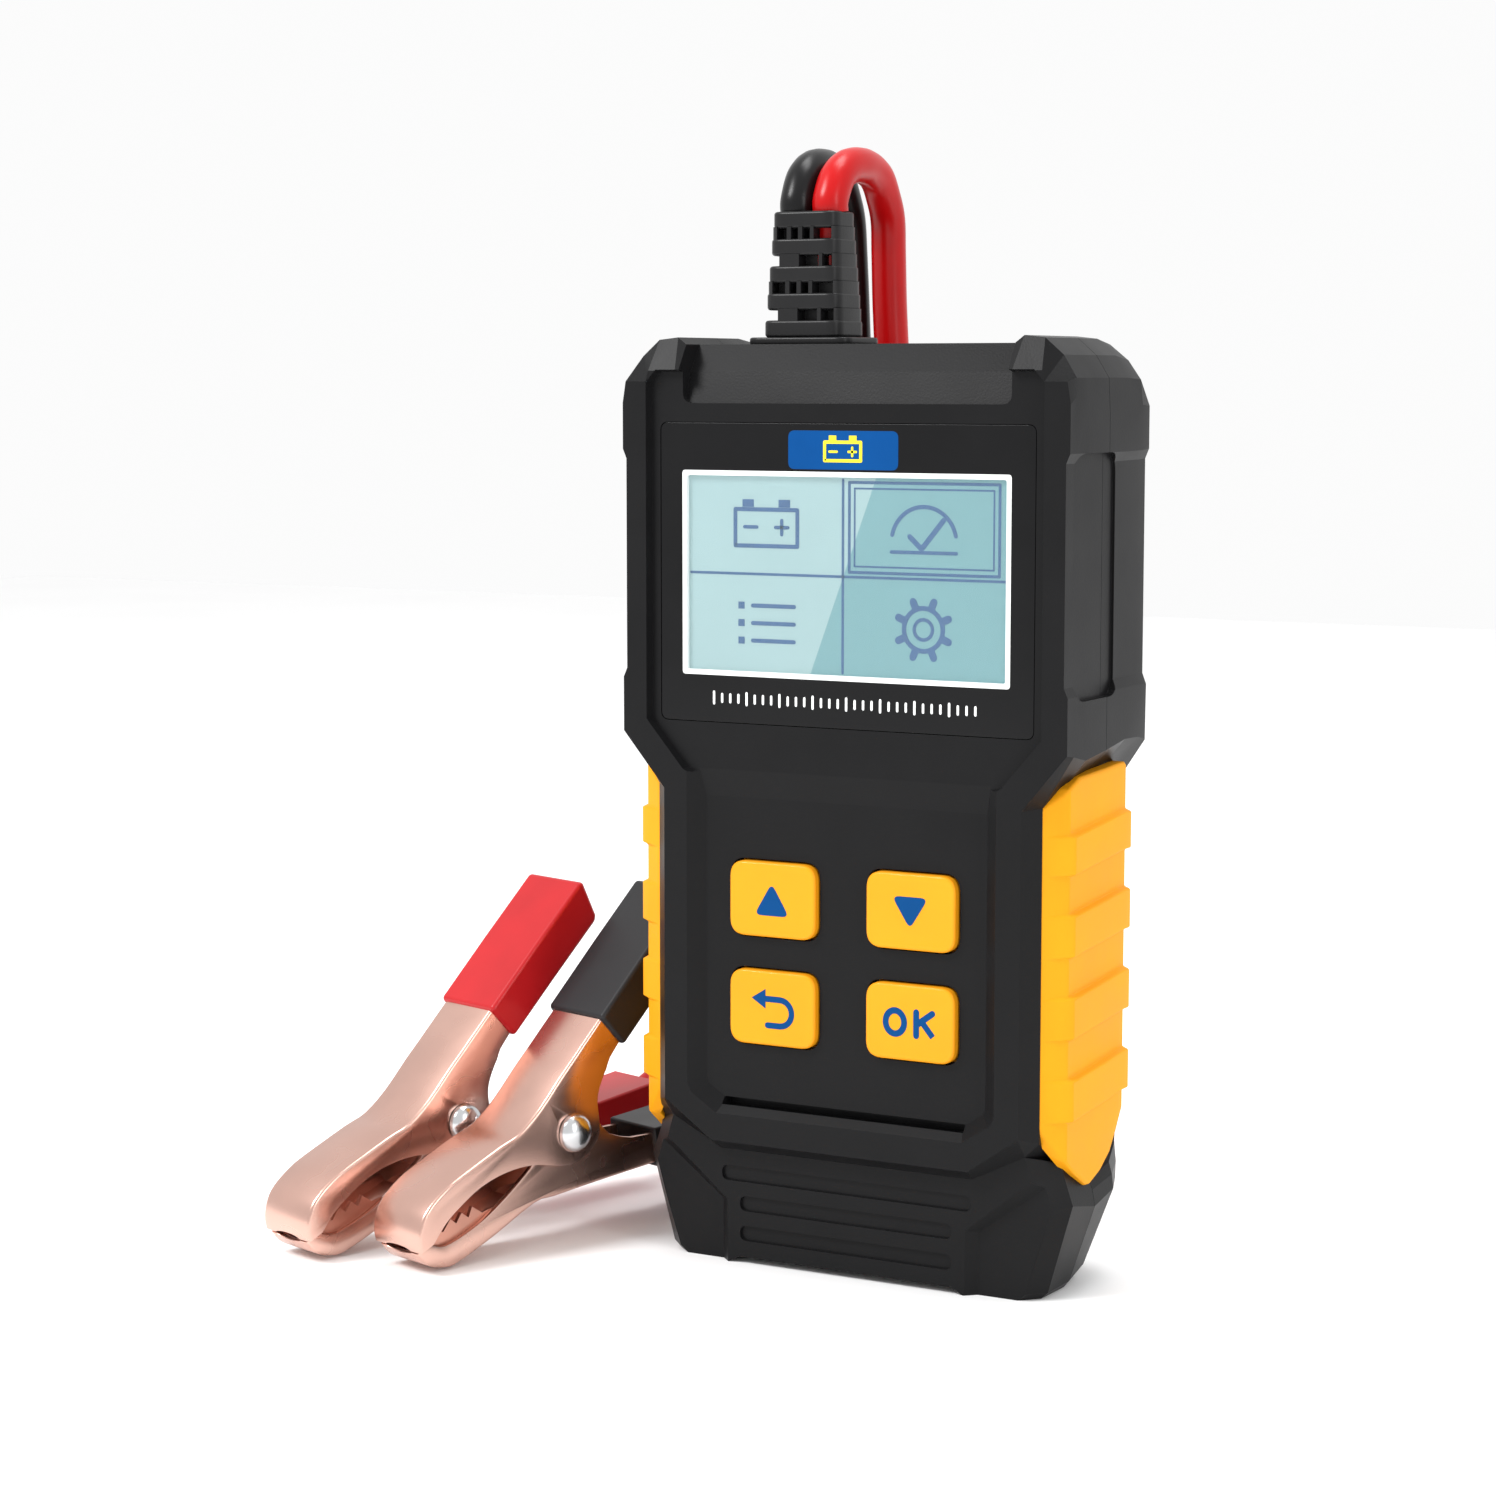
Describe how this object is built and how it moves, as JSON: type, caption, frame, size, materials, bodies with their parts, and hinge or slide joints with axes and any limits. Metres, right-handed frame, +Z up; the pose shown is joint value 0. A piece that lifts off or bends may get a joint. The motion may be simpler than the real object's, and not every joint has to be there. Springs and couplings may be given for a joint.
{
  "type": "battery tester",
  "caption": "Handheld battery tester with a display, sprung keys, side grips, and coiled red and black leads that end in sprung copper clamps.",
  "frame": {"origin": "under the middle of the case, on the surface that it stands on", "axes": "+Z up, the display faces -Y, +X to the right as the user sees it"},
  "size_m": [0.1398, 0.1791, 0.1939],
  "materials": {
    "case_plastic": "satin",
    "grip_rubber": "satin",
    "lens_black": "gloss",
    "lcd_panel": "gloss",
    "white_plastic": "satin",
    "ribbon_film": "gloss",
    "circuit_board": "gloss",
    "grey_rubber": "matte",
    "black_component": "satin",
    "ceramic": "matte",
    "bare_aluminium": "satin",
    "blue_sleeve": "gloss",
    "screw_steel": "polished",
    "brass_tag": "satin",
    "wire_sleeve": "satin",
    "relief_rubber": "satin",
    "key_yellow": "satin",
    "red_silicone": "satin",
    "black_silicone": "satin",
    "copper_plate": "satin",
    "red_boot_vinyl": "satin",
    "black_boot_vinyl": "satin"
  },
  "bodies": {
    "root": {"front_shell": "case_plastic", "rear_shell": "case_plastic", "left_grip": "grip_rubber", "right_grip": "grip_rubber", "window_lens": "lens_black", "lcd_glass": "lcd_panel", "lcd_frame": "white_plastic", "backlight_panel": "white_plastic", "lcd_ribbon": "ribbon_film", "main_board": "circuit_board", "key_mat": "grey_rubber", "key_switches": "black_component", "microcontroller": "black_component", "signal_chips": "black_component", "load_resistors": "ceramic", "load_transistors": "black_component", "heat_sink": "bare_aluminium", "capacitors": "blue_sleeve", "buzzer": "black_component", "board_screws": "screw_steel", "shell_screws": "screw_steel", "lead_terminals": "brass_tag", "inner_wires": "wire_sleeve", "cord_anchor": "black_component", "strain_relief": "relief_rubber", "red_lead": "red_silicone", "red_coil": "red_silicone", "red_tail": "red_silicone", "black_lead": "black_silicone", "black_coil": "black_silicone", "black_tail": "black_silicone", "red_lower_jaw": "copper_plate", "red_lower_teeth": "copper_plate", "red_lower_boot": "red_boot_vinyl", "red_rivet": "screw_steel", "red_spring": "screw_steel", "black_lower_jaw": "copper_plate", "black_lower_teeth": "copper_plate", "black_lower_boot": "black_boot_vinyl", "black_rivet": "screw_steel", "black_spring": "screw_steel"},
    "key_up": {"key_up": "key_yellow"},
    "key_down": {"key_down": "key_yellow"},
    "key_back": {"key_back": "key_yellow"},
    "key_ok": {"key_ok": "key_yellow"},
    "red_upper_half": {"red_upper_jaw": "copper_plate", "red_upper_teeth": "copper_plate", "red_upper_boot": "red_boot_vinyl"},
    "black_upper_half": {"black_upper_jaw": "copper_plate", "black_upper_teeth": "copper_plate", "black_upper_boot": "black_boot_vinyl"}
  },
  "joints": [
    {"name": "key_up_press", "type": "slide", "parent": "root", "child": "key_up", "axis": [0, 1, 0], "range_m": [0, 0.0008], "stiffness_N_per_m": 600},
    {"name": "key_down_press", "type": "slide", "parent": "root", "child": "key_down", "axis": [0, 1, 0], "range_m": [0, 0.0008], "stiffness_N_per_m": 600},
    {"name": "key_back_press", "type": "slide", "parent": "root", "child": "key_back", "axis": [0, 1, 0], "range_m": [0, 0.0008], "stiffness_N_per_m": 600},
    {"name": "key_ok_press", "type": "slide", "parent": "root", "child": "key_ok", "axis": [0, 1, 0], "range_m": [0, 0.0008], "stiffness_N_per_m": 600},
    {"name": "red_jaw_open", "type": "hinge", "parent": "root", "child": "red_upper_half", "pos_m": [-0.0804, -0.0188, 0.0204], "axis": [-0.9511, 0.309, 0], "range_deg": [0, 26], "stiffness_Nm_per_rad": 0.6, "springref_deg": -20.05, "deforming": ["red_spring"]},
    {"name": "black_jaw_open", "type": "hinge", "parent": "root", "child": "black_upper_half", "pos_m": [-0.0588, -0.016, 0.0204], "axis": [-0.9511, 0.309, 0], "range_deg": [0, 26], "stiffness_Nm_per_rad": 0.6, "springref_deg": -20.05, "deforming": ["black_spring"]}
  ]
}
